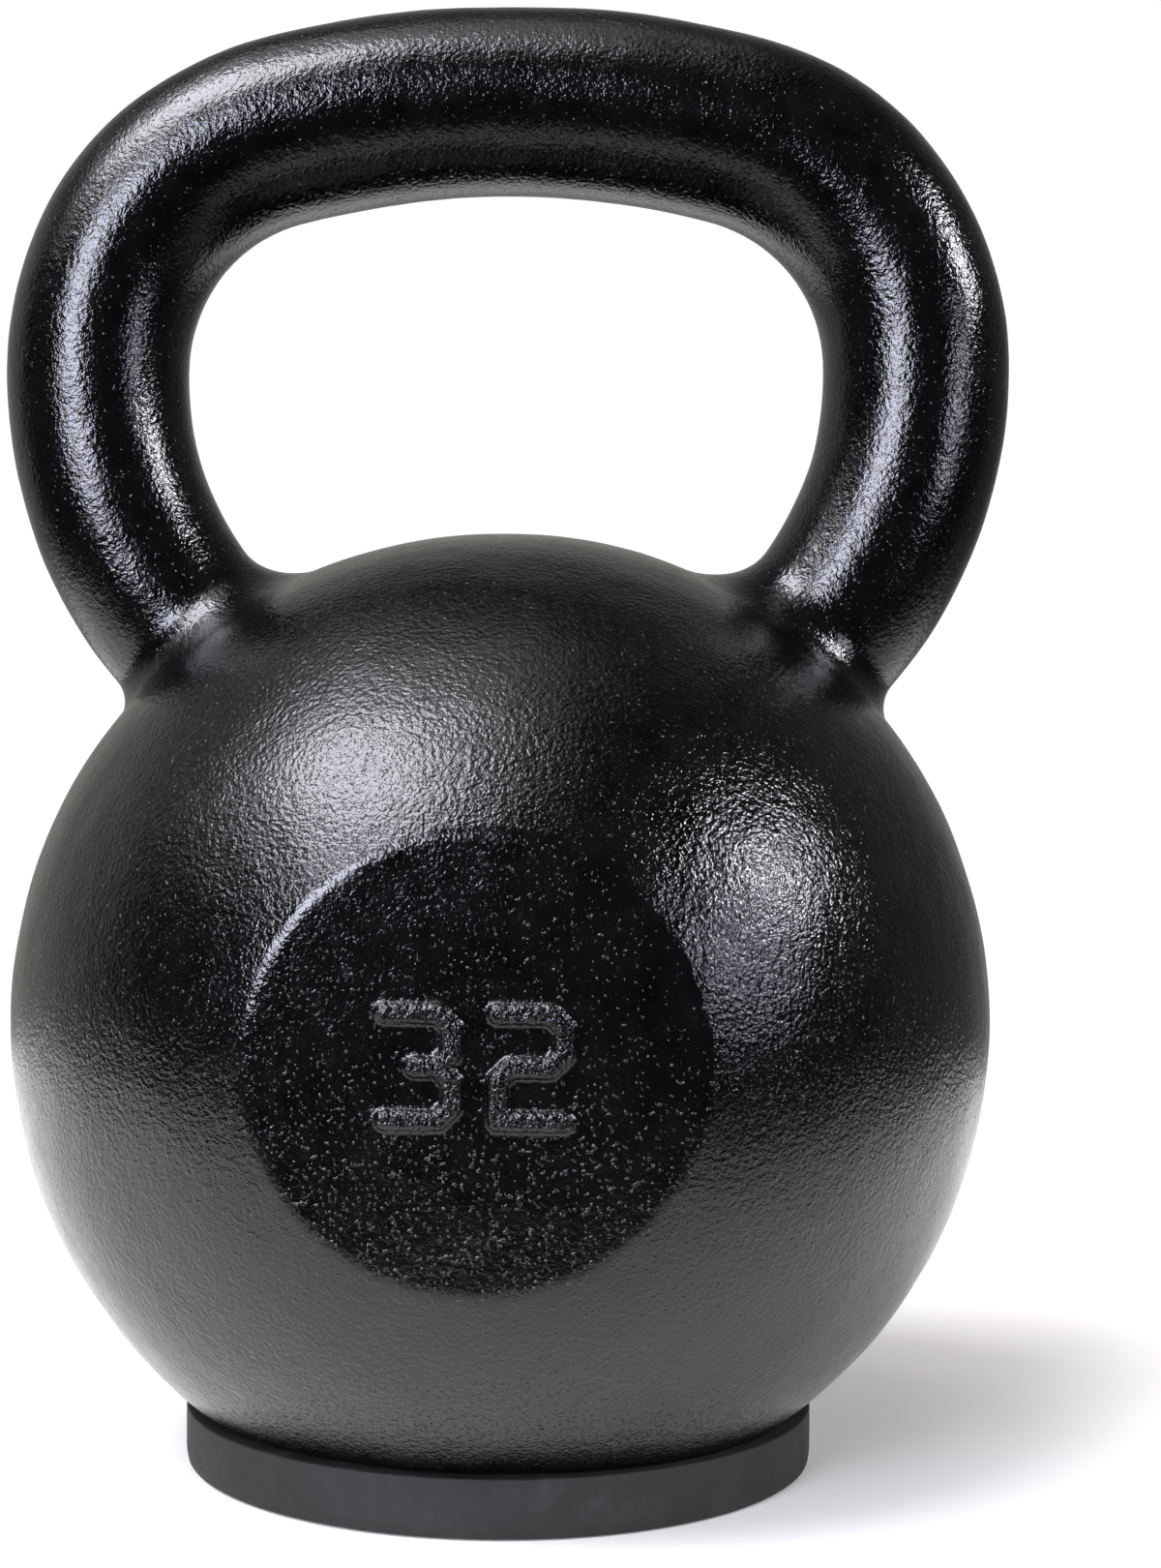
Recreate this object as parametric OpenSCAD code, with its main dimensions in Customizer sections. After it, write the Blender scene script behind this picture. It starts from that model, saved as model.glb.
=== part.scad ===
// Cast-iron kettlebell on a screwed-on rubber base.
// The floor is z = 0, the ball's centre is on the Z axis and the flat front faces -Y.

/* [Ball] */
// Diameter of the iron ball
ball_d = 200; // [196:1:206]
// Height of the ball's centre above the floor
ball_z = 90; // [86:1:94]
// Diameter of the round flat on the front of the ball
front_flat_d = 80; // [60:1:100]

/* [Handle] */
// Diameter of the handle's round bar
grip_d = 38; // [34:1:40]
// Lean of each leg from the vertical, in degrees
leg_lean = 39; // [37:0.5:41]
// Distance from the ball's centre, along a leg's axis, to the start of its bend
leg_reach = 106; // [105:0.5:110]
// Centreline radius of the side bend above each leg
side_r = 78.5; // [74:0.5:84]
// Turn of the side bend, in degrees
side_turn = 43; // [41:0.5:45]
// Centreline radius of the shoulder bend
shoulder_r = 50; // [46:0.5:54]
// Turn of the shoulder bend, in degrees
shoulder_turn = 72; // [70:0.5:74]
// Radius of the cast fillet where a leg runs into the ball
root_fillet_r = 8; // [5:0.5:8]

/* [Weight mark] */
// Height of the numerals
digit_h = 22; // [18:1:30]
// Width of a numeral's stroke
stroke_w = 3.6; // [2.4:0.2:4.6]
// How far the numerals stand proud of the front flat
digit_relief = 1; // [0.6:0.1:1.6]

/* [Rubber base] */
// Diameter of the rubber base
base_d = 129; // [122:1:136]
// Thickness of the rubber base
base_h = 11.5; // [10.5:0.5:13]
// Chamfer round the top and bottom edges of the rubber base
base_chamfer = 0.8; // [0.4:0.1:2]

/* [Base screws] */
// Diameter of the circle that the screws stand on
screw_circle_d = 84; // [70:1:90]
// Thread diameter of a screw
screw_d = 6; // [5:0.5:6]
// Length of a screw below its head
screw_len = 18; // [16:1:20]
// Diameter of a screw's head
head_d = 11; // [10:0.5:12]
// Height of a screw's head
head_h = 3.2; // [2.8:0.1:3.4]
// Outer diameter of a washer
washer_d = 18; // [16:0.5:19]
// Thickness of a washer
washer_h = 1.6; // [1.2:0.1:1.8]

/* [Hidden] */
$fn = 128;

// Ball
ball_r = ball_d / 2;
front_flat_y = -sqrt(pow(ball_r, 2) - pow(front_flat_d / 2, 2));
cut_size = 2 * ball_d;

// Handle centreline, right half: leg, side bend, shoulder bend, top bend.
// Each bend's centre is [x, z], and angles run from +X towards +Z.
// The side and top bends are a hair thicker and longer, so that they swallow their neighbours' ends.
grip_r = grip_d / 2;
bend_step = 0.05;
bend_lap = 0.4;
leg_end = [leg_reach * sin(leg_lean), ball_z + leg_reach * cos(leg_lean)];
side_start = -leg_lean;
side_centre = leg_end - side_r * [cos(side_start), sin(side_start)];
shoulder_start = side_start + side_turn;
shoulder_centre = side_centre + (side_r - shoulder_r) * [cos(shoulder_start), sin(shoulder_start)];
top_start = shoulder_start + shoulder_turn;
top_r = shoulder_r + shoulder_centre[0] / cos(top_start);
top_centre = [0, shoulder_centre[1] - shoulder_centre[0] * tan(top_start)];
top_turn = 180 - 2 * top_start;

// Root fillet, in a leg's own frame: distance from the leg's axis, distance from the ball's centre.
// The fillet dips a little under the ball's surface, so that the two cross cleanly.
fillet_dip = 0.4;
fillet_axis_r = grip_r + root_fillet_r;
fillet_reach = sqrt(pow(ball_r + root_fillet_r - fillet_dip, 2) - pow(fillet_axis_r, 2));
flare_r = fillet_axis_r * ball_r / (ball_r + root_fillet_r);
root_depth = ball_r / 2;

// Rubber base, screws and washers
base_r = base_d / 2;
screw_count = 4;
screw_turn = 360 / screw_count;
first_screw_angle = 45;
recess_d = 20;
recess_depth = 6.5;
base_hole_d = screw_d + 0.8;
washer_hole_d = screw_d + 0.5;
washer_z = recess_depth - washer_h;
head_z = washer_z - head_h;
head_bevel = 1.2;
hex_d = 4.6;
hex_depth = 2;
thread_gap = 0.1;
tapped_d = screw_d + 2 * thread_gap;
tapped_end_z = washer_z + screw_len + 3;
drill_tip_h = tapped_d / 3.3;

// Weight numerals: half width and half height, outside and inside the stroke
digit_y = digit_h / 2;
digit_x = 0.68 * digit_y;
inner_x = digit_x - stroke_w;
inner_y = digit_y - stroke_w;
digit_bevel = 0.9 * stroke_w;
inner_bevel = 0.4 * stroke_w;
digit_notch = 0.4 * stroke_w;
digit_pitch = 2 * digit_x + 1.2 * stroke_w;
digit_sink = 1;

// One bend of the handle's round bar, in the XZ plane.
module bar_bend(centre, radius, start, turn, bar_r) {
    translate([centre[0], 0, centre[1]])
        rotate([90, 0, 0])
            rotate([0, 0, start])
                rotate_extrude(angle = turn)
                    translate([radius, 0])
                        circle(r = bar_r);
}

// A bend whose ends reach over the pieces on either side of it.
module lapped_bend(centre, radius, start, turn) {
    bar_bend(centre, radius, start - bend_lap, turn + 2 * bend_lap, grip_r + bend_step);
}

// The straight leg with the cast fillet at its root.
module leg() {
    translate([0, 0, ball_z])
        rotate([0, leg_lean, 0])
            rotate_extrude()
                difference() {
                    union() {
                        translate([0, root_depth])
                            square([grip_r, leg_reach - root_depth]);
                        translate([0, root_depth])
                            square([flare_r, fillet_reach - root_depth]);
                    }
                    translate([fillet_axis_r, fillet_reach])
                        circle(r = root_fillet_r);
                }
}

module half_handle() {
    leg();
    lapped_bend(side_centre, side_r, side_start, side_turn);
    bar_bend(shoulder_centre, shoulder_r, shoulder_start, shoulder_turn, grip_r);
}

// Everything beyond a flat face, to be cut away: the floor side or the front side.
module below(z) {
    translate([-cut_size / 2, -cut_size / 2, z - cut_size])
        cube(cut_size);
}

module in_front_of(y) {
    translate([-cut_size / 2, y - cut_size, ball_z - cut_size / 2])
        cube(cut_size);
}

module tapped_hole() {
    translate([0, 0, base_h - 1])
        cylinder(d = tapped_d, h = tapped_end_z - base_h + 1);
    translate([0, 0, tapped_end_z])
        cylinder(d1 = tapped_d, d2 = 0, h = drill_tip_h);
}

// Places a child at each screw, or at one screw only.
module at_screw(index) {
    rotate([0, 0, first_screw_angle + index * screw_turn])
        translate([screw_circle_d / 2, 0, 0])
            children();
}

module at_screws() {
    for (index = [0 : screw_count - 1])
        at_screw(index)
            children();
}

// Points of an outline's upper part, turned over the X axis and taken in reverse.
function turned_over(points) = [for (index = [len(points) - 1 : -1 : 0]) [points[index][0], -points[index][1]]];

// A plain block three, the same above and below its waist.
module digit_three() {
    outer = [[-digit_x, digit_y], [digit_x - digit_bevel, digit_y], [digit_x, digit_y - digit_bevel],
             [digit_x, digit_notch]];
    waist = [[digit_x - digit_notch, 0]];
    inner = [[-digit_x / 3, stroke_w / 2], [inner_x - inner_bevel, stroke_w / 2],
             [inner_x, stroke_w / 2 + inner_bevel], [inner_x, inner_y - inner_bevel],
             [inner_x - inner_bevel, inner_y], [-digit_x, inner_y]];
    polygon(concat(outer, waist, turned_over(outer), turned_over(inner), inner));
}

// A plain block two, the same when turned half round.
module digit_two() {
    half = [[-digit_x, digit_y], [digit_x - digit_bevel, digit_y], [digit_x, digit_y - digit_bevel],
            [digit_x, digit_bevel - stroke_w / 2], [digit_x - digit_bevel, -stroke_w / 2],
            [inner_bevel - inner_x, -stroke_w / 2], [-inner_x, -stroke_w / 2 - inner_bevel],
            [-inner_x, -inner_y], [digit_x, -inner_y]];
    polygon(concat(half, -half));
}

// The numerals, raised on the front flat and sunk a little into it.
module weight_mark() {
    translate([0, front_flat_y + digit_sink, ball_z])
        rotate([90, 0, 0])
            linear_extrude(digit_sink + digit_relief) {
                translate([-digit_pitch / 2, 0])
                    digit_three();
                translate([digit_pitch / 2, 0])
                    digit_two();
            }
}

// Ball and handle are one iron casting, cut flat in front and below and tapped for the screws.
module bell_casting() {
    color([0.07, 0.07, 0.08]) {
        difference() {
            union() {
                translate([0, 0, ball_z])
                    sphere(r = ball_r);
                half_handle();
                mirror([1, 0, 0])
                    half_handle();
                lapped_bend(top_centre, top_r, top_start, top_turn);
            }
            below(base_h);
            in_front_of(front_flat_y);
            at_screws()
                tapped_hole();
        }
        weight_mark();
    }
}

// Rubber disc with a recess and a hole for each screw.
module rubber_base() {
    inset_r = base_r - base_chamfer;
    color([0.16, 0.16, 0.17])
        difference() {
            rotate_extrude()
                polygon([[0, 0], [inset_r, 0], [base_r, base_chamfer], [base_r, base_h - base_chamfer],
                         [inset_r, base_h], [0, base_h]]);
            at_screws() {
                translate([0, 0, -1])
                    cylinder(d = recess_d, h = recess_depth + 1);
                cylinder(d = base_hole_d, h = base_h + 1);
            }
        }
}

// Button-head screw, head down, with a hexagon socket.
module screw() {
    color([0.62, 0.63, 0.65])
        difference() {
            union() {
                translate([0, 0, head_z])
                    cylinder(d1 = head_d - 2 * head_bevel, d2 = head_d, h = head_bevel);
                translate([0, 0, head_z + head_bevel])
                    cylinder(d = head_d, h = head_h - head_bevel);
                translate([0, 0, washer_z])
                    cylinder(d = screw_d, h = screw_len);
            }
            translate([0, 0, head_z - 1])
                cylinder(d = hex_d, h = hex_depth + 1, $fn = 6);
        }
}

module washer() {
    color([0.70, 0.70, 0.71])
        translate([0, 0, washer_z])
            difference() {
                cylinder(d = washer_d, h = washer_h);
                translate([0, 0, -1])
                    cylinder(d = washer_hole_d, h = washer_h + 2);
            }
}

bell_casting();
rubber_base();
for (index = [0 : screw_count - 1]) {
    at_screw(index) screw();
    at_screw(index) washer();
}
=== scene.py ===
"""Looks of the kettlebell: a glossy coated iron casting on a matt rubber base, held on by four screws.

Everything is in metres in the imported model's frame: +Z up, floor at z = 0, flat front towards -Y.
"""

import math

import bmesh
import bpy
import numpy as np
from mathutils import Matrix, Vector


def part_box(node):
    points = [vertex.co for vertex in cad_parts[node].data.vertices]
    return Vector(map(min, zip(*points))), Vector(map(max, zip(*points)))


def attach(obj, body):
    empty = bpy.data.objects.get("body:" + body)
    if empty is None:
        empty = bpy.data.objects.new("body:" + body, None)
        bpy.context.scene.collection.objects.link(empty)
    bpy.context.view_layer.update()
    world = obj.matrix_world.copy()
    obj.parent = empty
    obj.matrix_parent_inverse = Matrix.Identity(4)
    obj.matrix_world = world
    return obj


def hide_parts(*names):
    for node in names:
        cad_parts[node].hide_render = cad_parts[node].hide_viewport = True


MM = 0.001

# --- camera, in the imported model's frame ---
SENSOR = 36.0
CAMERA_DISTANCE = 509.5 * MM
CAMERA_HEIGHT = 137.9 * MM
CAMERA_AZIMUTH = math.radians(2.713)
CAMERA_YAW = math.radians(0.029)
CAMERA_PITCH = math.radians(-1.972)
CAMERA_ROLL = math.radians(0.317)
CAMERA_LENS = 56.49
CAMERA_SHIFT = (0.0514, 0.0558)

# --- ball ---
BALL_Z = 90 * MM
FRONT_FLAT_R = 40 * MM
FLAT_EDGE_SOFTNESS = 0.6 * MM
UNDERSIDE_EDGE_SOFTNESS = 0.8 * MM

# --- handle centreline, right half: leg, side bend, shoulder bend, top bend ---
GRIP_R = 18.98 * MM
LEG_LEAN = math.radians(39)
LEG_REACH = 106 * MM
SIDE_R = 78.5 * MM
SIDE_TURN = math.radians(43)
SHOULDER_R = 50 * MM
SHOULDER_TURN = math.radians(72)
# Where a leg's middle line starts, as a share of the ball's radius
LEG_FOOT = 0.6
ROOT_FILLET_OUTSIDE = 4.5 * MM
ROOT_FILLET_INSIDE = 11 * MM
# The distance across a leg over which its fillet goes from one radius to the other
ROOT_FILLET_SPREAD = 2.6 * GRIP_R

# --- numerals on the front flat ---
DIGIT_HALF_H = 11 * MM
DIGIT_HALF_W = 0.68 * DIGIT_HALF_H
STROKE_W = 3.6 * MM
DIGIT_RELIEF = 1.0 * MM
DIGIT_EDGE_R = 1.15 * MM
DIGIT_FOOT_R = 0.7 * MM
DIGIT_PITCH = 2 * DIGIT_HALF_W + 1.2 * STROKE_W
DIGIT_BEVEL = 0.65 * STROKE_W
# Where the three's middle stroke starts, as a share of its half width
WAIST_START = -0.12
# How far behind the flat the numerals still count
DIGIT_REACH = 4 * MM

# --- casting unevenness: each kind's wavelength, height and count ---
WOBBLE_SEED = 32
WOBBLE_WAVES = [(46 * MM, 0.055 * MM, 8), (19 * MM, 0.016 * MM, 12), (8 * MM, 0.004 * MM, 16)]
WAVELENGTH_SPREAD = (0.75, 1.35)
WAVE_LIMIT = 0.28 * MM

# --- mesh fineness of the casting ---
NET_STEP = 2.1 * MM
NET_BATCHES = 40
RELAX_ROUNDS = 8
RELAX_SHARE = 0.6
# How far from a flat face its edge and its numerals get finer faces
SPLIT_DEPTH = 3 * MM
# A turned point nearer to the axis than this lies on it
ON_AXIS = 1e-7

# --- rubber base ---
# Its side from the floor up: how far in from the disc's radius, height and rounding of each corner
RUBBER_SIDE = [(3.2 * MM, 0, 0), (2.8 * MM, 0.25 * MM, 0.2 * MM), (0.35 * MM, 0.25 * MM, 0.5 * MM),
               (0, 2.2 * MM, 0.8 * MM)]
RUBBER_TOP_ROUNDING = 0.45 * MM
RUBBER_SIDES = 360
RECESS_R = 10 * MM
RECESS_DEPTH = 6.5 * MM
RECESS_ROUNDING = 0.3 * MM
RECESS_FLARE, RECESS_FLARE_TOP = 1.4 * MM, 0.4 * MM
RECESS_SIDES = 64
BASE_HOLE_R = 3.4 * MM

# --- screws, washers and tapped holes ---
SCREW_COUNT = 4
SCREW_D = 6 * MM
STEEL_SIDES = 96
# Side of a screw's head from its face up: how far in from the head's radius, how far up, and rounding
HEAD_SIDE = [(2.1 * MM, 0, 0.5 * MM), (0.5 * MM, 1.1 * MM, 0.6 * MM)]
HEAD_RIM_H = 0.9 * MM
HEAD_RIM_ROUNDING, HEAD_SEAT_ROUNDING = 0.4 * MM, 0.15 * MM
THREAD_PITCH = 1 * MM
THREAD_ROOT_R = 2.4 * MM
# Slope of a thread's flanks, and how much thinner than the screw its tip is
THREAD_FLANK = 2.5
THREAD_TIP = 0.7 * MM
THREAD_SIDES, THREAD_ROWS = 32, 6
HEX_R = 2.3 * MM
HEX_DEPTH = 2 * MM
HEX_POINT = 0.5 * MM
HEX_LEAD_IN = 0.35 * MM
WASHER_HOLE_R = 3.25 * MM
WASHER_HOLE_ROUNDING = 0.12 * MM
WASHER_ROUNDING_BELOW, WASHER_ROUNDING_ABOVE = 0.35 * MM, 0.15 * MM
TAPPED_R = 3.1 * MM
TAPPED_END = 25.9 * MM
TAPPED_FLARE, TAPPED_FLARE_TOP = 1.6 * MM, 0.6 * MM
DRILL_POINT = 1.65
CUTTER_SIDES = 48
# How far a cutter reaches out of what it cuts
CUTTER_LAP = 1 * MM

# --- coat on the iron: noise scales per metre, bump depths ---
BROAD_SCALE, BROAD_DEPTH = 120, 0.22 * MM
PEEL_SCALE, PEEL_DEPTH = 1050, 0.2 * MM
GRAIN_SCALE, GRAIN_DEPTH = 2600, 0.03 * MM
NIB_SCALE, NIB_DEPTH = 1350, 0.13 * MM
# Noise values at which a nib starts and is full, and what two heights add to the noise
NIB_RISE = (0.65, 0.78)
NIBS_BY_HEIGHT = (55 * MM, 110 * MM, 0.03, -0.045)
# Strength off the flat, on the numerals, on the flat, and from the front of the ball to its middle
NIBS_ON_BALL = 0.6
PEEL_ON_NUMERALS = 3.4
PEEL_ON_FLAT = 0.6
PEEL_ROUND_BALL = (-75 * MM, -35 * MM, 1.2, 0.85)
# Depths behind the flat between which its skin gives way to the ball's, and the numerals' to the flat's
FLAT_BAND = (0.45 * MM, 0.75 * MM)
NUMERAL_BAND = (-0.6 * MM, -0.2 * MM)
TINT_SCALE, HAZE_SCALE = 160, 300
COAT_COLOURS = [(0.3, (0.001, 0.001, 0.0011)), (0.7, (0.003, 0.003, 0.0033))]
COAT_ROUGHNESS = (0.09, 0.16)
COAT_IOR = 1.52
# Noise values that a colour or a roughness is spread between
NOISE_SPAN = (0.3, 0.7)

# --- rubber: clouds, drag marks drawn out along Z, and grain ---
CLOUD_SCALE = 85
DRAG_SCALE, DRAG_DEPTH = 420, 0.04 * MM
DRAG_STRETCH = (1, 1, 0.3)
DRAG_SHARE = 0.15
RUBBER_GRAIN_SCALE, RUBBER_GRAIN_DEPTH = 2600, 0.03 * MM
RUBBER_COLOURS = [(0.32, (0.009, 0.0088, 0.0086)), (0.52, (0.016, 0.0157, 0.0154)),
                  (0.7, (0.03, 0.0295, 0.029))]
RUBBER_ROUGHNESS = (0.58, 0.8)
RUBBER_IOR = 1.4

# --- plated steel: tint, scale of the turning rings and roughness ---
SCREW_STEEL = ((0.55, 0.56, 0.58), 5200, (0.22, 0.42))
WASHER_STEEL = ((0.62, 0.62, 0.63), 3800, (0.28, 0.5))
BLOOM_SCALE = 500
BLOOM_DARK = 0.8
RING_DEPTH = 0.01 * MM
RING_SHARE = 0.4

# --- floor: its middle, its reach from there and the shares of it where it fades ---
FLOOR_CENTRE = Vector((-0.12, 0.24, -0.0001))
FLOOR_REACH = (0.75, 0.6)
FLOOR_FADE = (0.5, 1.0)
FLOOR_MARGIN = 1.02
FLOOR_TINT_SCALE = 12
FLOOR_COLOURS = [(0.3, (0.91, 0.905, 0.848)), (0.7, (0.93, 0.925, 0.868))]
FLOOR_ROUGHNESS = 0.7
FLOOR_SPECULAR = 0.2
# Painted light: two distances from the bell, and how strongly the floor glows at each, dimmer near the
# bell than further out
FLOOR_PAINTED_GLOW = (0.07, 0.24, 0.05, 0.2)
WARM_WHITE = (1, 0.97, 0.92, 1)

# --- softboxes: name, azimuth, elevation, size, radiance, colour, distance; angles in degrees ---
LIGHT_AIM = Vector((0, 0, 0.15))
# Radiance that a lamp of one square metre gives for each watt
RADIANCE_PER_WATT = 0.25
SOFTBOXES = [("key", -48, 54.5, (31, 27), 11.1, (0.94, 0.925, 1), 4.0),
             ("key_spill", -54, 57, (56, 54), 1.15, (0.94, 0.925, 1), 4.0),
             ("front", -28, 16.5, (23, 24), 15.2, (0.82, 0.83, 1), 2.4),
             ("side", 72.5, 28, (12, 12), 31.5, (0.94, 0.92, 1), 2.4),
             ("low_side", 53, 9, (12, 11), 9.5, (0.84, 0.82, 1), 0.8)]

# --- what the gloss sees besides: a wall behind, dimmer upwards and to the right, and a glow overhead ---
BACKDROP_EDGE = (0.0, 0.35)
BACKDROP_FADE = (0.35, 0.9)
BACKDROP_TOP = 0.3
BACKDROP_RADIANCE = 0.36
BACKDROP_RIGHT = (0.0, 0.8, 0.25)
ROOM_RADIANCE = 0.02
OVERHEAD_EDGE = (0.955, 0.99)
OVERHEAD_RADIANCE = 0.8
# What the camera sees behind everything
SEEN_WHITE = (1, 1, 1, 1)
SEEN_RADIANCE = 1.05

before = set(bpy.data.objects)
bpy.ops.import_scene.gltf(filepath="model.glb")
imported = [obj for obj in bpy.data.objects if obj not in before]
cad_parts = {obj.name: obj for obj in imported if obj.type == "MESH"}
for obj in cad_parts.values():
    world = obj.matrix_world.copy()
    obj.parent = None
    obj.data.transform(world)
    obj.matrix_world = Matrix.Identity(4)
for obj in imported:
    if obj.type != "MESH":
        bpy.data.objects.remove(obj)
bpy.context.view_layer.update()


def centre_of(node):
    low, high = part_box(node)
    return (low + high) / 2


base_low, base_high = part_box("rubber_base")
cast_low, cast_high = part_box("bell_casting")
BASE_R = (base_high.x - base_low.x) / 2
BASE_H = base_high.z
BALL_R = cast_high.y
FRONT_FLAT_Y = -math.sqrt(BALL_R**2 - FRONT_FLAT_R**2)
SCREWS = [f"base_screw_{i}" for i in range(1, SCREW_COUNT + 1)]
WASHERS = [f"base_washer_{i}" for i in range(1, SCREW_COUNT + 1)]


# ---------------------------------------------------------------- camera
def make_camera():
    heading = CAMERA_AZIMUTH + CAMERA_YAW
    forward = Vector((-math.sin(heading) * math.cos(CAMERA_PITCH),
                      math.cos(heading) * math.cos(CAMERA_PITCH),
                      math.sin(CAMERA_PITCH)))
    level_right = forward.cross(Vector((0, 0, 1))).normalized()
    level_up = level_right.cross(forward)
    right = math.cos(CAMERA_ROLL) * level_right + math.sin(CAMERA_ROLL) * level_up
    up = math.cos(CAMERA_ROLL) * level_up - math.sin(CAMERA_ROLL) * level_right
    data = bpy.data.cameras.new("camera")
    data.sensor_width = SENSOR
    data.lens = CAMERA_LENS
    data.shift_x, data.shift_y = CAMERA_SHIFT
    data.clip_start = 0.01
    data.clip_end = 100
    camera = bpy.data.objects.new("camera", data)
    bpy.context.collection.objects.link(camera)
    camera.matrix_world = Matrix((
        (right.x, up.x, -forward.x, CAMERA_DISTANCE * math.sin(CAMERA_AZIMUTH)),
        (right.y, up.y, -forward.y, -CAMERA_DISTANCE * math.cos(CAMERA_AZIMUTH)),
        (right.z, up.z, -forward.z, CAMERA_HEIGHT),
        (0, 0, 0, 1)))
    bpy.context.scene.camera = camera


# ---------------------------------------------------------------- distance to the casting
def polar(centre, radius, angle):
    return centre + radius * np.array([math.cos(angle), math.sin(angle)])


LEG_AXIS = np.array([math.sin(LEG_LEAN), math.cos(LEG_LEAN)])
BALL_CENTRE_XZ = np.array([0, BALL_Z])
SIDE_START = -LEG_LEAN
SIDE_CENTRE = polar(BALL_CENTRE_XZ + LEG_REACH * LEG_AXIS, -SIDE_R, SIDE_START)
SHOULDER_START = SIDE_START + SIDE_TURN
SHOULDER_CENTRE = polar(SIDE_CENTRE, SIDE_R - SHOULDER_R, SHOULDER_START)
TOP_START = SHOULDER_START + SHOULDER_TURN
TOP_R = SHOULDER_R + SHOULDER_CENTRE[0] / math.cos(TOP_START)
TOP_CENTRE = polar(SHOULDER_CENTRE, SHOULDER_R - TOP_R, TOP_START)
BENDS = [(SIDE_CENTRE, SIDE_R, SIDE_START, SHOULDER_START),
         (SHOULDER_CENTRE, SHOULDER_R, SHOULDER_START, TOP_START),
         (TOP_CENTRE, TOP_R, TOP_START, math.pi / 2)]


def to_segment(points, start, end):
    run = end - start
    along = np.clip((points - start) @ run / (run @ run), 0, 1)
    return np.linalg.norm(points - start - along[:, None] * run, axis=1)


def to_bend(points, centre, radius, start, end):
    offset = points - centre
    angle = np.clip(np.arctan2(offset[:, 1], offset[:, 0]), start, end)
    nearest = centre + radius * np.stack([np.cos(angle), np.sin(angle)], axis=1)
    return np.linalg.norm(points - nearest, axis=1)


def to_handle(points):
    flat = np.stack([np.abs(points[:, 0]), points[:, 2]], axis=1)
    leg_foot = BALL_CENTRE_XZ + LEG_FOOT * BALL_R * LEG_AXIS
    leg_end = BALL_CENTRE_XZ + LEG_REACH * LEG_AXIS
    in_plane = to_segment(flat, leg_foot, leg_end)
    for bend in BENDS:
        in_plane = np.minimum(in_plane, to_bend(flat, *bend))
    return np.hypot(in_plane, points[:, 1]) - GRIP_R


def soft_max(a, b, width):
    lap = np.maximum(width - np.abs(a - b), 0) / width
    return np.maximum(a, b) + lap * lap * width / 4


def joined_with_fillet(a, b, radius):
    near = np.hypot(np.maximum(radius - a, 0), np.maximum(radius - b, 0))
    return np.maximum(radius, np.minimum(a, b)) - near


def root_fillet(points):
    """Radius of the fillet round a leg's foot: wider in the window's corner than outside."""
    out = np.abs(points[:, 0]) * math.cos(LEG_LEAN) - (points[:, 2] - BALL_Z) * math.sin(LEG_LEAN)
    share = np.clip(0.5 - out / ROOT_FILLET_SPREAD, 0, 1)
    return ROOT_FILLET_OUTSIDE + share * (ROOT_FILLET_INSIDE - ROOT_FILLET_OUTSIDE)


def make_waves():
    random = np.random.default_rng(WOBBLE_SEED)
    waves = []
    for length, height, count in WOBBLE_WAVES:
        for _ in range(count):
            way = random.normal(size=3)
            way *= 2 * math.pi / (length * random.uniform(*WAVELENGTH_SPREAD)) / np.linalg.norm(way)
            waves.append((way, height, random.uniform(0, 2 * math.pi)))
    return waves


WAVES = make_waves()


def wobble(points):
    """How far the cast skin lies under the true shape, from 0 to twice WAVE_LIMIT."""
    total = np.zeros(len(points))
    for way, height, phase in WAVES:
        total += height * np.sin(points @ way + phase)
    return WAVE_LIMIT * (1 + np.tanh(total / WAVE_LIMIT))


def digit_paths():
    """Strokes of a block three and a block two: paths of x and z from the ball's centre."""
    x, y = DIGIT_HALF_W - STROKE_W / 2, DIGIT_HALF_H - STROKE_W / 2
    bevel = DIGIT_BEVEL
    bowl = [(-x, y), (x - bevel, y), (x, y - bevel), (x, bevel), (x - bevel, 0)]
    three = [bowl, [(px, -py) for px, py in bowl], [(WAIST_START * x, 0), (x - bevel, 0)]]
    two = [bowl + [(bevel - x, 0), (-x, -bevel), (-x, -y), (x, -y)]]
    placed = []
    for paths, shift in ((three, -DIGIT_PITCH / 2), (two, DIGIT_PITCH / 2)):
        placed += [np.array(path) + (shift, 0) for path in paths]
    return placed


DIGIT_PATHS = digit_paths()


def to_strokes(points):
    """Distance in the flat's plane to the middle lines of the numerals' strokes."""
    flat = np.stack([points[:, 0], points[:, 2] - BALL_Z], axis=1)
    across = np.full(len(points), np.inf)
    for path in DIGIT_PATHS:
        for start, end in zip(path[:-1], path[1:]):
            across = np.minimum(across, to_segment(flat, start, end))
    return across


def to_numerals(points):
    across = to_strokes(points) + (DIGIT_EDGE_R - STROKE_W / 2)
    proud = FRONT_FLAT_Y - DIGIT_RELIEF - points[:, 1] + DIGIT_EDGE_R
    outside = np.hypot(np.maximum(across, 0), np.maximum(proud, 0))
    return np.minimum(np.maximum(across, proud), 0) + outside - DIGIT_EDGE_R


def to_casting(points):
    ball = np.linalg.norm(points - (0, 0, BALL_Z), axis=1) - BALL_R
    ball = soft_max(ball, FRONT_FLAT_Y - points[:, 1], FLAT_EDGE_SOFTNESS)
    body = joined_with_fillet(ball, to_handle(points), root_fillet(points))
    body += wobble(points)
    front = points[:, 1] < FRONT_FLAT_Y + DIGIT_REACH
    if front.any():
        body[front] = joined_with_fillet(body[front], to_numerals(points[front]), DIGIT_FOOT_R)
    return soft_max(body, BASE_H - points[:, 2], UNDERSIDE_EDGE_SOFTNESS)


def slope(distance, points, reach=0.02 * MM):
    parts = []
    for axis in np.eye(3) * reach:
        parts.append((distance(points + axis) - distance(points - axis)) / (2 * reach))
    return np.stack(parts, axis=1)


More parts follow.
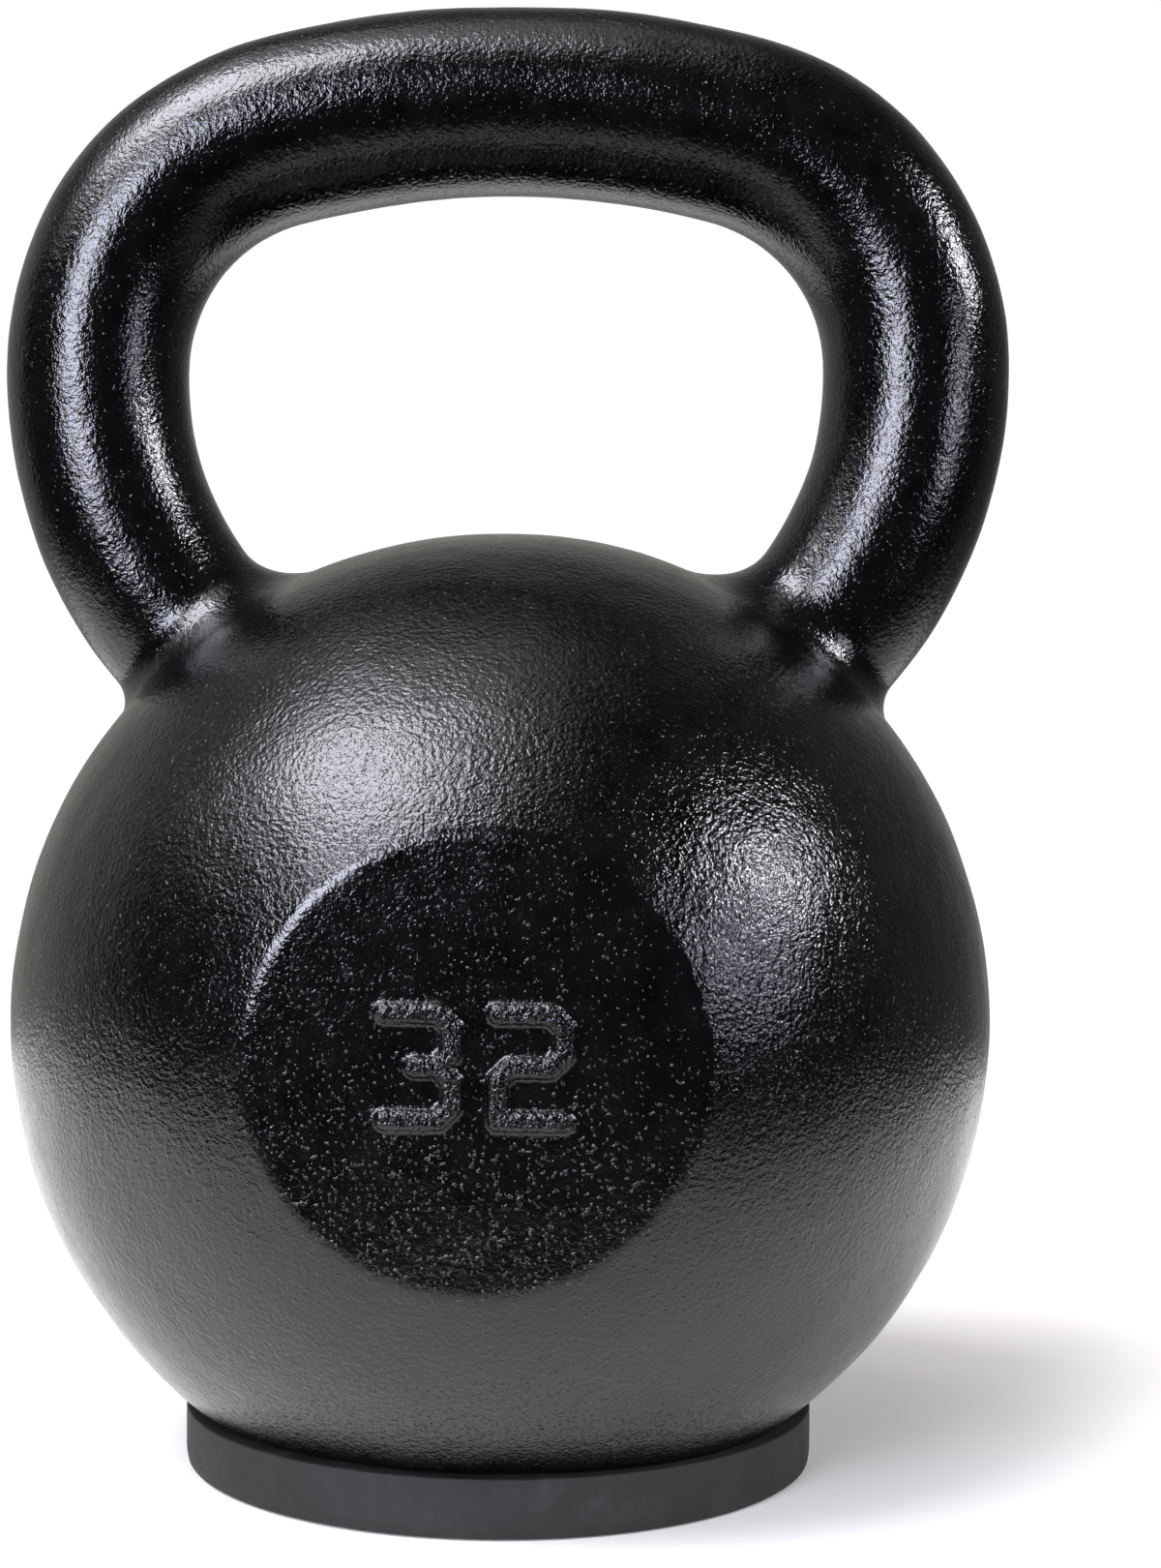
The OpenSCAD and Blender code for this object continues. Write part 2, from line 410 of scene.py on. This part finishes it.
def pulled_to_surface(distance, points, rounds=3):
    for _ in range(rounds):
        steep = slope(distance, points)
        points = points - (distance(points) / np.sum(steep * steep, axis=1))[:, None] * steep
    return points


# ---------------------------------------------------------------- mesh of a distance
def surface_net(distance, low, high, step):
    """Vertices and four-sided faces of the surface where distance is 0, on a regular grid."""
    lines = [np.arange(a - 1.5 * step, b + 2.5 * step, step) for a, b in zip(low, high)]
    shape = tuple(len(line) for line in lines)
    grid = np.stack(np.meshgrid(*lines, indexing="ij"), axis=-1).reshape(-1, 3)
    value = np.concatenate([distance(part) for part in np.array_split(grid, NET_BATCHES)]).reshape(shape)
    corner = grid.reshape(shape + (3,))
    cell_id = np.arange(np.prod(shape)).reshape(shape)
    crossings, cells, faces = [], [], []
    for axis in range(3):
        first = [slice(None)] * 3
        second = [slice(None)] * 3
        first[axis], second[axis] = slice(0, -1), slice(1, None)
        a, b = value[tuple(first)], value[tuple(second)]
        where = np.argwhere((a < 0) != (b < 0))
        start, end = where, where + np.eye(3, dtype=int)[axis]
        va, vb = value[tuple(start.T)], value[tuple(end.T)]
        share = (va / (va - vb))[:, None]
        point = corner[tuple(start.T)] * (1 - share) + corner[tuple(end.T)] * share
        side_one, side_two = np.eye(3, dtype=int)[(axis + 1) % 3], np.eye(3, dtype=int)[(axis + 2) % 3]
        ring = [start - side_one - side_two, start - side_two, start, start - side_one]
        ids = np.stack([cell_id[tuple(cell.T)] for cell in ring], axis=1)
        faces.append(np.where((va < 0)[:, None], ids, ids[:, ::-1]))
        crossings.append(np.repeat(point, 4, axis=0))
        cells.append(ids.reshape(-1))
    used, index = np.unique(np.concatenate(cells), return_inverse=True)
    total = np.zeros((len(used), 3))
    np.add.at(total, index, np.concatenate(crossings))
    count = np.bincount(index)[:, None]
    return total / count, np.searchsorted(used, np.concatenate(faces))


def relaxed(distance, points, faces, rounds):
    """Evens out the faces by sliding each vertex along the surface to the middle of its neighbours."""
    pairs = np.concatenate([faces[:, [i, (i + 1) % 4]] for i in range(4)])
    pairs = np.concatenate([pairs, pairs[:, ::-1]])
    count = np.bincount(pairs[:, 0])[:, None]
    for _ in range(rounds):
        middle = np.zeros_like(points)
        np.add.at(middle, pairs[:, 0], points[pairs[:, 1]])
        moved = (1 - RELAX_SHARE) * points + RELAX_SHARE * middle / count
        points = pulled_to_surface(distance, moved, rounds=1)
    return points


def split_near(mesh, chosen):
    """Cuts in two every edge whose ends are both chosen."""
    edges = [e for e in mesh.edges if chosen[e.verts[0].index] and chosen[e.verts[1].index]]
    bmesh.ops.subdivide_edges(mesh, edges=edges, cuts=1, use_grid_fill=True)
    mesh.verts.index_update()


def vertex_places(mesh):
    return np.array([v.co for v in mesh.verts])


def move_vertices(mesh, places):
    for vertex, place in zip(mesh.verts, places):
        vertex.co = place


def near_strokes(points, margin):
    return (points[:, 1] < FRONT_FLAT_Y + SPLIT_DEPTH) & (to_strokes(points) < STROKE_W / 2 + margin)


def near_flat_edge(points, margin):
    ring = np.hypot(points[:, 0], points[:, 2] - BALL_Z)
    return (points[:, 1] < FRONT_FLAT_Y + SPLIT_DEPTH) & (np.abs(ring - FRONT_FLAT_R) < margin)


def near_underside_edge(points, margin):
    ring = np.hypot(points[:, 0], points[:, 1])
    edge = math.sqrt(BALL_R**2 - (BALL_Z - BASE_H) ** 2)
    return (points[:, 2] < BASE_H + SPLIT_DEPTH) & (np.abs(ring - edge) < margin)


def near_roots(points, margin):
    """Near the ball and the handle at once: the fillets round the legs' feet."""
    to_ball = np.abs(np.linalg.norm(points - (0, 0, BALL_Z), axis=1) - BALL_R)
    return (points[:, 2] > BALL_Z) & (to_ball < 2 * margin) & (np.abs(to_handle(points)) < 2 * margin)


# Each round of splitting: how far it reaches, and round what
SPLITS = [(4 * MM, (near_strokes, near_flat_edge, near_underside_edge, near_roots)),
          (2 * MM, (near_strokes, near_flat_edge)),
          (0.8 * MM, (near_strokes,))]


def object_from(name, mesh):
    data = bpy.data.meshes.new(name)
    mesh.to_mesh(data)
    mesh.free()
    piece = bpy.data.objects.new(name, data)
    bpy.context.collection.objects.link(piece)
    return piece


def shade_smooth(piece, sharp_angle):
    piece.data.polygons.foreach_set("use_smooth", [True] * len(piece.data.polygons))
    piece.data.set_sharp_from_angle(angle=math.radians(sharp_angle))
    piece.data.update()


def drill(piece, cutters):
    """Cuts the cutters' shapes out of a piece and removes the cutters."""
    for cutter in cutters:
        cut = piece.modifiers.new("cut", "BOOLEAN")
        cut.operation = "DIFFERENCE"
        cut.solver = "EXACT"
        cut.object = cutter
    bpy.context.view_layer.update()
    done = bpy.data.meshes.new_from_object(piece.evaluated_get(bpy.context.evaluated_depsgraph_get()))
    piece.modifiers.clear()
    piece.data = done
    for cutter in cutters:
        bpy.data.objects.remove(cutter)


def make_casting():
    low, high = np.array(cast_low), np.array(cast_high)
    points, faces = surface_net(to_casting, low, high, NET_STEP)
    points = relaxed(to_casting, points, faces, RELAX_ROUNDS)
    mesh = bmesh.new()
    for place in points:
        mesh.verts.new(place)
    mesh.verts.ensure_lookup_table()
    for face in faces:
        mesh.faces.new([mesh.verts[i] for i in face])
    mesh.verts.index_update()
    for margin, regions in SPLITS:
        places = vertex_places(mesh)
        chosen = np.zeros(len(places), bool)
        for region in regions:
            chosen |= region(places, margin)
        split_near(mesh, chosen)
        move_vertices(mesh, pulled_to_surface(to_casting, vertex_places(mesh)))
    return object_from("casting", mesh)


# ---------------------------------------------------------------- turned shapes
def rounded(corners, steps=4):
    """A profile of (radius, z) corners whose corners with a rounding, given third, become arcs."""
    points = []
    for index, corner in enumerate(corners):
        here = np.array(corner[:2], float)
        size = corner[2] if len(corner) > 2 else 0
        if size == 0:
            points.append(here)
            continue
        before = np.array(corners[index - 1][:2], float)
        after = np.array(corners[(index + 1) % len(corners)][:2], float)
        start = here + size * (before - here) / np.linalg.norm(before - here)
        end = here + size * (after - here) / np.linalg.norm(after - here)
        for share in np.linspace(0, 1, steps + 1):
            points.append((1 - share) ** 2 * start + 2 * share * (1 - share) * here + share**2 * end)
    return points


def turned(mesh, profile, sides, ring=False):
    """Adds a profile turned round Z. It starts and ends on the axis, or as a ring closes on itself."""
    rows = []
    for radius, z in profile:
        if radius < ON_AXIS:
            rows.append([mesh.verts.new((0, 0, z))])
            continue
        angles = [2 * math.pi * side / sides for side in range(sides)]
        rows.append([mesh.verts.new((radius * math.cos(a), radius * math.sin(a), z)) for a in angles])
    pairs = list(zip(rows[:-1], rows[1:]))
    if ring:
        pairs.append((rows[-1], rows[0]))
    for lower, upper in pairs:
        for side in range(sides):
            after = (side + 1) % sides
            if len(lower) == 1:
                corners = (lower[0], upper[after], upper[side])
            elif len(upper) == 1:
                corners = (lower[side], lower[after], upper[0])
            else:
                corners = (lower[side], lower[after], upper[after], upper[side])
            mesh.faces.new(corners)


def turned_object(name, profile, sides, ring=False):
    mesh = bmesh.new()
    turned(mesh, profile, sides, ring)
    bmesh.ops.recalc_face_normals(mesh, faces=mesh.faces)
    return object_from(name, mesh)


# ---------------------------------------------------------------- rubber base, screws and washers
def recess_cutter(place):
    """The shape of one stepped hole: wide below for the washer and head, narrow above for the shank."""
    top = base_high.z + CUTTER_LAP
    profile = [(0, -CUTTER_LAP), (RECESS_R + RECESS_FLARE, -CUTTER_LAP), (RECESS_R, RECESS_FLARE_TOP),
               (RECESS_R, RECESS_DEPTH, RECESS_ROUNDING), (BASE_HOLE_R, RECESS_DEPTH),
               (BASE_HOLE_R, top), (0, top)]
    cutter = turned_object("cutter", rounded(profile), RECESS_SIDES)
    cutter.location = (place.x, place.y, 0)
    return cutter


def make_rubber_base(places):
    side = [(BASE_R - inset, z, size) for inset, z, size in RUBBER_SIDE]
    profile = [(0, 0), *side, (BASE_R, BASE_H, RUBBER_TOP_ROUNDING), (0, BASE_H)]
    piece = turned_object("rubber_foot", rounded(profile, steps=5), RUBBER_SIDES)
    drill(piece, [recess_cutter(place) for place in places])
    shade_smooth(piece, sharp_angle=35)
    return piece


def tap_casting(piece, places):
    """Cuts the four tapped holes into the casting's flat underside."""
    below = BASE_H - CUTTER_LAP
    profile = [(0, below), (TAPPED_R + TAPPED_FLARE, below), (TAPPED_R, BASE_H + TAPPED_FLARE_TOP),
               (TAPPED_R, TAPPED_END), (0, TAPPED_END + TAPPED_R / DRILL_POINT)]
    cutters = []
    for place in places:
        cutter = turned_object("cutter", profile, CUTTER_SIDES)
        cutter.location = (place.x, place.y, 0)
        cutters.append(cutter)
    drill(piece, cutters)


def threaded_radius(turn, z, low, high):
    """Radius of the screw's thread at a turn and height, fading out under the head and at the tip."""
    phase = (z / THREAD_PITCH - turn) % 1
    crest = min(1, max(0, THREAD_FLANK * (0.5 - abs(phase - 0.5))))
    fade = min(1, max(0, (z - low) / THREAD_PITCH))
    radius = THREAD_ROOT_R + (SCREW_D / 2 - THREAD_ROOT_R) * crest * fade
    return min(radius, SCREW_D / 2 - THREAD_TIP + (high - z))


def add_thread(mesh, low, high):
    heights = np.linspace(low, high, int((high - low) / THREAD_PITCH * THREAD_ROWS) + 1)
    rows = []
    for z in heights:
        row = []
        for side in range(THREAD_SIDES):
            angle = 2 * math.pi * side / THREAD_SIDES
            radius = threaded_radius(side / THREAD_SIDES, z, low, high)
            row.append(mesh.verts.new((radius * math.cos(angle), radius * math.sin(angle), z)))
        rows.append(row)
    for lower, upper in zip(rows[:-1], rows[1:]):
        for side in range(THREAD_SIDES):
            after = (side + 1) % THREAD_SIDES
            mesh.faces.new((lower[side], lower[after], upper[after], upper[side]))
    mesh.faces.new(rows[0][::-1])
    mesh.faces.new(rows[-1])


def make_screw(name, node):
    low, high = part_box(node)
    middle = centre_of(node)
    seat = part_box(node.replace("screw", "washer"))[0].z
    head_r = (high.x - low.x) / 2
    side = [(head_r - inset, low.z + up, size) for inset, up, size in HEAD_SIDE]
    profile = [(0, low.z), *side, (head_r, seat - HEAD_RIM_H, HEAD_RIM_ROUNDING),
               (head_r, seat, HEAD_SEAT_ROUNDING), (0, seat)]
    piece = turned_object(name, rounded(profile), STEEL_SIDES)
    below, bottom, inner_edge = low.z - CUTTER_LAP, low.z + HEX_DEPTH, low.z + HEX_LEAD_IN
    hexagon = [(0, below), (HEX_R, below), (HEX_R, bottom), (0, bottom + HEX_POINT)]
    lead_in = [(0, below), (HEX_R + CUTTER_LAP, below), (HEX_R - HEX_LEAD_IN, inner_edge),
               (0, inner_edge)]
    drill(piece, [turned_object("cutter", hexagon, 6), turned_object("cutter", lead_in, CUTTER_SIDES)])
    mesh = bmesh.new()
    mesh.from_mesh(piece.data)
    add_thread(mesh, seat, high.z)
    mesh.to_mesh(piece.data)
    mesh.free()
    piece.location = (middle.x, middle.y, 0)
    shade_smooth(piece, sharp_angle=32)
    return piece


def make_washer(name, node):
    low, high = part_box(node)
    middle = centre_of(node)
    outer = (high.x - low.x) / 2
    profile = [(WASHER_HOLE_R, low.z, WASHER_HOLE_ROUNDING), (outer, low.z, WASHER_ROUNDING_BELOW),
               (outer, high.z, WASHER_ROUNDING_ABOVE), (WASHER_HOLE_R, high.z, WASHER_HOLE_ROUNDING)]
    piece = turned_object(name, rounded(profile), STEEL_SIDES, ring=True)
    piece.location = (middle.x, middle.y, 0)
    shade_smooth(piece, sharp_angle=40)
    return piece


# ---------------------------------------------------------------- materials
class Nodes:
    """Adds nodes to one material or world and links them."""

    def __init__(self, owner):
        owner.use_nodes = True
        self.tree = owner.node_tree
        self.tree.nodes.clear()

    def add(self, kind, inputs=None, **settings):
        node = self.tree.nodes.new(kind)
        for key, value in settings.items():
            setattr(node, key, value)
        for key, value in (inputs or {}).items():
            socket = node.inputs[key]
            if isinstance(value, bpy.types.NodeSocket):
                self.tree.links.new(value, socket)
            else:
                socket.default_value = value
        return node

    def coordinates(self, output="Object"):
        return self.add("ShaderNodeTexCoord").outputs[output]

    def noise(self, place, scale, detail=2.0, roughness=0.5, distortion=0.0):
        inputs = {"Vector": place, "Scale": scale, "Detail": detail, "Roughness": roughness,
                  "Distortion": distortion}
        return self.add("ShaderNodeTexNoise", inputs).outputs["Fac"]

    def math(self, operation, a, b, c=0.0):
        node = self.add("ShaderNodeMath", operation=operation)
        for socket, value in zip(node.inputs, (a, b, c)):
            if isinstance(value, bpy.types.NodeSocket):
                self.tree.links.new(value, socket)
            else:
                socket.default_value = value
        return node.outputs[0]

    def length(self, vector):
        return self.add("ShaderNodeVectorMath", {0: vector}, operation="LENGTH").outputs["Value"]

    def mapped(self, value, low, high, to_low, to_high):
        inputs = {"Value": value, "From Min": low, "From Max": high, "To Min": to_low, "To Max": to_high}
        return self.add("ShaderNodeMapRange", inputs, interpolation_type="SMOOTHSTEP").outputs["Result"]

    def ramp(self, value, stops):
        node = self.add("ShaderNodeValToRGB", {"Fac": value})
        while len(node.color_ramp.elements) < len(stops):
            node.color_ramp.elements.new(1)
        for element, (position, colour) in zip(node.color_ramp.elements, stops):
            element.position = position
            element.color = (*colour, 1)
        return node.outputs["Color"]

    def bump(self, height, distance, normal=None):
        inputs = {"Height": height, "Distance": distance, "Strength": 1.0}
        if normal is not None:
            inputs["Normal"] = normal
        return self.add("ShaderNodeBump", inputs).outputs["Normal"]

    def surface(self, **inputs):
        named = {key.replace("_", " "): value for key, value in inputs.items()}
        shader = self.add("ShaderNodeBsdfPrincipled", named)
        self.add("ShaderNodeOutputMaterial", {"Surface": shader.outputs[0]})


def coated_iron():
    """Thick glossy black coat over cast iron: an orange-peel skin with pin-head nibs."""
    material = bpy.data.materials.new("coated_iron")
    nodes = Nodes(material)
    place = nodes.coordinates()
    broad = nodes.noise(place, BROAD_SCALE, detail=2)
    peel = nodes.noise(place, PEEL_SCALE, detail=2, roughness=0.55)
    grain = nodes.noise(place, GRAIN_SCALE, detail=1)
    split = nodes.add("ShaderNodeSeparateXYZ", {"Vector": place})
    off_flat = nodes.math("SUBTRACT", split.outputs["Y"], FRONT_FLAT_Y + WAVE_LIMIT)
    share = nodes.mapped(off_flat, *FLAT_BAND, 1, NIBS_ON_BALL)
    coarse = nodes.mapped(off_flat, *NUMERAL_BAND, PEEL_ON_NUMERALS, 1)
    coarse = nodes.math("MULTIPLY", coarse, nodes.mapped(off_flat, *FLAT_BAND, PEEL_ON_FLAT, 1))
    coarse = nodes.math("MULTIPLY", coarse, nodes.mapped(split.outputs["Y"], *PEEL_ROUND_BALL))
    peel = nodes.math("MULTIPLY", nodes.math("SUBTRACT", peel, 0.5), coarse)
    by_height = nodes.mapped(split.outputs["Z"], *NIBS_BY_HEIGHT)
    spots = nodes.math("ADD", nodes.noise(place, NIB_SCALE, detail=0.5), by_height)
    nib = nodes.mapped(spots, *NIB_RISE, 0, 1)
    normal = nodes.bump(broad, BROAD_DEPTH)
    normal = nodes.bump(peel, PEEL_DEPTH, normal)
    normal = nodes.bump(nodes.math("MULTIPLY", nib, share), NIB_DEPTH, normal)
    normal = nodes.bump(grain, GRAIN_DEPTH, normal)
    colour = nodes.ramp(nodes.noise(place, TINT_SCALE, detail=3), COAT_COLOURS)
    roughness = nodes.mapped(nodes.noise(place, HAZE_SCALE, detail=3), *NOISE_SPAN, *COAT_ROUGHNESS)
    nodes.surface(Base_Color=colour, Roughness=roughness, IOR=COAT_IOR, Normal=normal)
    return material


def base_rubber():
    """Matt moulded rubber, clouded with dust and scuffs, with fine upright drag marks round its side."""
    material = bpy.data.materials.new("base_rubber")
    nodes = Nodes(material)
    place = nodes.coordinates()
    cloud = nodes.noise(place, CLOUD_SCALE, detail=5, roughness=0.65, distortion=0.8)
    drawn_out = nodes.add("ShaderNodeMapping", {"Vector": place, "Scale": DRAG_STRETCH}).outputs[0]
    marks = nodes.noise(drawn_out, DRAG_SCALE, detail=3, roughness=0.6)
    grain = nodes.noise(place, RUBBER_GRAIN_SCALE, detail=2)
    clouds = nodes.math("MULTIPLY", cloud, 1 - DRAG_SHARE)
    colour = nodes.ramp(nodes.math("MULTIPLY_ADD", marks, DRAG_SHARE, clouds), RUBBER_COLOURS)
    roughness = nodes.mapped(cloud, *NOISE_SPAN, *RUBBER_ROUGHNESS)
    normal = nodes.bump(marks, DRAG_DEPTH)
    normal = nodes.bump(grain, RUBBER_GRAIN_DEPTH, normal)
    nodes.surface(Base_Color=colour, Roughness=roughness, IOR=RUBBER_IOR, Normal=normal)
    return material


def plated_steel(name, tint, ring_scale, roughness_range):
    """Bright zinc plating over turned steel: fine rings round the axis and a faint cloudy bloom."""
    material = bpy.data.materials.new(name)
    nodes = Nodes(material)
    place = nodes.coordinates()
    split = nodes.add("ShaderNodeSeparateXYZ", {"Vector": place})
    outwards = nodes.add("ShaderNodeCombineXYZ", {"X": split.outputs["X"], "Y": split.outputs["Y"]})
    radius = nodes.length(outwards.outputs[0])
    along = nodes.add("ShaderNodeCombineXYZ", {"X": radius, "Y": split.outputs["Z"]}).outputs[0]
    rings = nodes.noise(along, ring_scale, detail=3, roughness=0.7)
    bloom = nodes.noise(place, BLOOM_SCALE, detail=4, roughness=0.6)
    dark = tuple(BLOOM_DARK * part for part in tint)
    colour = nodes.ramp(bloom, list(zip(NOISE_SPAN, (dark, tint))))
    blooming = nodes.math("MULTIPLY", bloom, 1 - RING_SHARE)
    mixed = nodes.math("MULTIPLY_ADD", rings, RING_SHARE, blooming)
    roughness = nodes.mapped(mixed, *NOISE_SPAN, *roughness_range)
    normal = nodes.bump(rings, RING_DEPTH)
    nodes.surface(Base_Color=colour, Metallic=1.0, Roughness=roughness, Normal=normal)
    return material


def floor_surface():
    """Pale matt studio floor that fades out towards its rim and is clear from below, with a painted glow
    that is dimmer near the bell than further out.
    """
    material = bpy.data.materials.new("studio_floor")
    nodes = Nodes(material)
    place = nodes.coordinates()
    shrink = (1 / FLOOR_REACH[0], 1 / FLOOR_REACH[1], 1)
    away = nodes.add("ShaderNodeVectorMath", {0: place, 1: shrink}, operation="MULTIPLY").outputs[0]
    fade = nodes.mapped(nodes.length(away), *FLOOR_FADE, 0, 1)
    shade = nodes.ramp(nodes.noise(place, FLOOR_TINT_SCALE, detail=3), FLOOR_COLOURS)
    bell = {0: place, 1: -FLOOR_CENTRE}
    from_bell = nodes.add("ShaderNodeVectorMath", bell, operation="DISTANCE").outputs["Value"]
    # Painted light: the floor's emission glow, dimmer near the bell than further out
    looks = {"Base Color": shade, "Roughness": FLOOR_ROUGHNESS, "Specular IOR Level": FLOOR_SPECULAR,
             "Emission Color": WARM_WHITE, "Emission Strength": nodes.mapped(from_bell, *FLOOR_PAINTED_GLOW)}
    pale = nodes.add("ShaderNodeBsdfPrincipled", looks)
    clear = nodes.add("ShaderNodeBsdfTransparent")
    from_below = nodes.add("ShaderNodeNewGeometry").outputs["Backfacing"]
    see_through = nodes.math("MAXIMUM", fade, from_below)
    mix = nodes.add("ShaderNodeMixShader", {"Fac": see_through, 1: pale.outputs[0], 2: clear.outputs[0]})
    nodes.add("ShaderNodeOutputMaterial", {"Surface": mix.outputs[0]})
    return material


def finish_piece(piece, material, slot, *nodes):
    piece.data.materials.clear()
    piece.data.materials.append(material)
    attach(piece, "root")
    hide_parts(*nodes)


# ---------------------------------------------------------------- studio
def make_floor():
    mesh = bmesh.new()
    bmesh.ops.create_grid(mesh, x_segments=8, y_segments=8, size=max(FLOOR_REACH) * FLOOR_MARGIN)
    floor = object_from("studio_floor", mesh)
    floor.location = FLOOR_CENTRE
    floor.data.materials.append(floor_surface())


def make_light(name, azimuth, elevation, size, radiance, colour, distance):
    """A softbox that faces the bell, which sees it at these angles and sizes, azimuth 0 in front."""
    turn, rise = math.radians(azimuth), math.radians(elevation)
    way = Vector((math.sin(turn) * math.cos(rise), -math.cos(turn) * math.cos(rise), math.sin(rise)))
    data = bpy.data.lights.new(name, "AREA")
    data.shape = "RECTANGLE"
    data.size, data.size_y = (2 * distance * math.tan(math.radians(angle) / 2) for angle in size)
    data.energy = radiance * data.size * data.size_y / RADIANCE_PER_WATT
    data.color = colour
    light = bpy.data.objects.new(name, data)
    light.location = LIGHT_AIM + distance * way
    light.rotation_euler = way.to_track_quat("Z", "Y").to_euler()
    light.visible_camera = False
    bpy.context.collection.objects.link(light)


def make_world():
    """White to the camera. The gloss sees a pale wall behind, and a dark room in front."""
    world = bpy.data.worlds.new("studio")
    bpy.context.scene.world = world
    nodes = Nodes(world)
    way = nodes.add("ShaderNodeSeparateXYZ", {"Vector": nodes.coordinates("Generated")})
    behind = nodes.mapped(way.outputs["Y"], *BACKDROP_EDGE, 0, 1)
    height = nodes.mapped(way.outputs["Z"], *BACKDROP_FADE, 1, BACKDROP_TOP)
    side = nodes.mapped(way.outputs["X"], *BACKDROP_RIGHT[:2], 1, BACKDROP_RIGHT[2])
    wall = nodes.math("MULTIPLY", nodes.math("MULTIPLY", behind, height), side)
    overhead = nodes.mapped(way.outputs["Z"], *OVERHEAD_EDGE, ROOM_RADIANCE, OVERHEAD_RADIANCE)
    strength = nodes.math("MULTIPLY_ADD", wall, BACKDROP_RADIANCE, overhead)
    seen = nodes.add("ShaderNodeLightPath").outputs["Is Camera Ray"]
    lit = nodes.add("ShaderNodeBackground", {"Color": WARM_WHITE, "Strength": strength})
    plain = nodes.add("ShaderNodeBackground", {"Color": SEEN_WHITE, "Strength": SEEN_RADIANCE})
    mix = nodes.add("ShaderNodeMixShader", {"Fac": seen, 1: lit.outputs[0], 2: plain.outputs[0]})
    nodes.add("ShaderNodeOutputWorld", {"Surface": mix.outputs[0]})


make_camera()
places = [centre_of(node) for node in SCREWS]

casting = make_casting()
tap_casting(casting, places)
shade_smooth(casting, sharp_angle=50)
finish_piece(casting, coated_iron(), "coated_iron", "bell_casting")

rubber = make_rubber_base(places)
finish_piece(rubber, base_rubber(), "base_rubber", "rubber_base")

screw_steel = plated_steel("screw_steel", *SCREW_STEEL)
washer_steel = plated_steel("washer_steel", *WASHER_STEEL)
for number, (screw_node, washer_node) in enumerate(zip(SCREWS, WASHERS), start=1):
    screw = make_screw(f"fixing_screw_{number}", screw_node)
    finish_piece(screw, screw_steel, "screw_steel", screw_node)
    washer = make_washer(f"fixing_washer_{number}", washer_node)
    finish_piece(washer, washer_steel, "washer_steel", washer_node)

make_floor()
for softbox in SOFTBOXES:
    make_light(*softbox)
make_world()
bpy.context.scene.view_settings.view_transform = "Standard"
